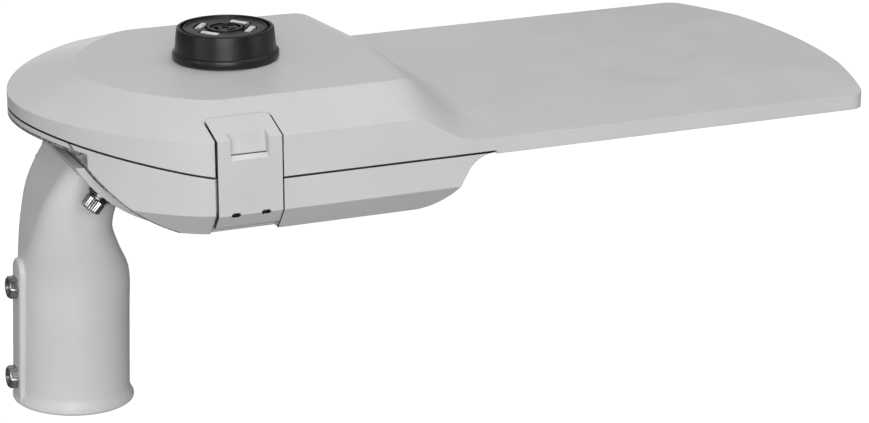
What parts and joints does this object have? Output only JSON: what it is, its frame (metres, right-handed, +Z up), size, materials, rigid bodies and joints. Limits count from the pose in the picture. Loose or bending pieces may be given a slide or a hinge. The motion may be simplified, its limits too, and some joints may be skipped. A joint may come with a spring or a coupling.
{
  "type": "street light head",
  "caption": "LED street light head: upright pole socket with tilting saddle, tray and hinged cover held by a side latch, thin LED panel, and a twist-lock photocell socket on top.",
  "frame": {"origin": "centre of the pole socket's mouth, in the plane of its lower rim", "axes": "+Z up along the pole, +X from the pole towards the light panel, +Y to the hinge side; the latch is on the -Y side"},
  "size_m": [0.558, 0.2794, 0.2392],
  "materials": {
    "grey_paint": "light grey satin powder coat on die-cast aluminium",
    "stainless": "stainless steel",
    "zinc": "zinc-plated sheet",
    "white_case": "white coated case",
    "black_plastic": "moulded black polymer",
    "pale_plastic": "moulded pale polymer",
    "seal_rubber": "silicone rubber",
    "contact_metal": "plated contact",
    "board_white": "white solder mask",
    "clear_lens": "clear moulded polymer",
    "phosphor": "yellow phosphor"
  },
  "bodies": {
    "pole_spigot": {"spigot": "grey_paint", "clamp_screws": "stainless"},
    "gear_tray": {"tray": "grey_paint", "tilt_bolts": "stainless", "tilt_washers": "stainless", "tilt_spring_washers": "stainless", "latch_pin": "stainless", "hinge_pins": "stainless", "gear_plate": "zinc", "gear_plate_screws": "stainless", "driver": "white_case", "surge_protector": "black_plastic", "terminal_block": "pale_plastic", "cable_clamp": "black_plastic", "cable_clamp_screws": "stainless", "cable_bush": "seal_rubber", "vent_plug": "black_plastic", "cover_gasket": "seal_rubber"},
    "lamp_cover": {"cover": "grey_paint", "photocell_socket": "black_plastic", "socket_contacts": "contact_metal", "socket_seal": "seal_rubber", "socket_nut": "black_plastic", "led_boards": "board_white", "lens_seals": "seal_rubber", "lens_plates": "clear_lens", "led_chips": "phosphor", "lens_screws": "stainless"},
    "side_latch": {"latch": "grey_paint", "latch_spring": "stainless", "latch_rivets": "stainless"}
  },
  "joints": [
    {"name": "tilt", "type": "hinge", "parent": "pole_spigot", "child": "gear_tray", "pos_m": [0.0596, 0, 0.22569], "axis": [0, 1, 0], "range_deg": [-5, 10]},
    {"name": "cover_hinge", "type": "hinge", "parent": "gear_tray", "child": "lamp_cover", "pos_m": [0.14262, 0.14, 0.17913], "axis": [-0.9991, 0, -0.0419], "range_deg": [0, 75], "deforming": ["latch_spring"]},
    {"name": "latch_swing", "type": "hinge", "parent": "gear_tray", "child": "side_latch", "pos_m": [0.07078, -0.1215, 0.1501], "axis": [0.9991, 0, 0.0419], "range_deg": [0, 95]}
  ]
}
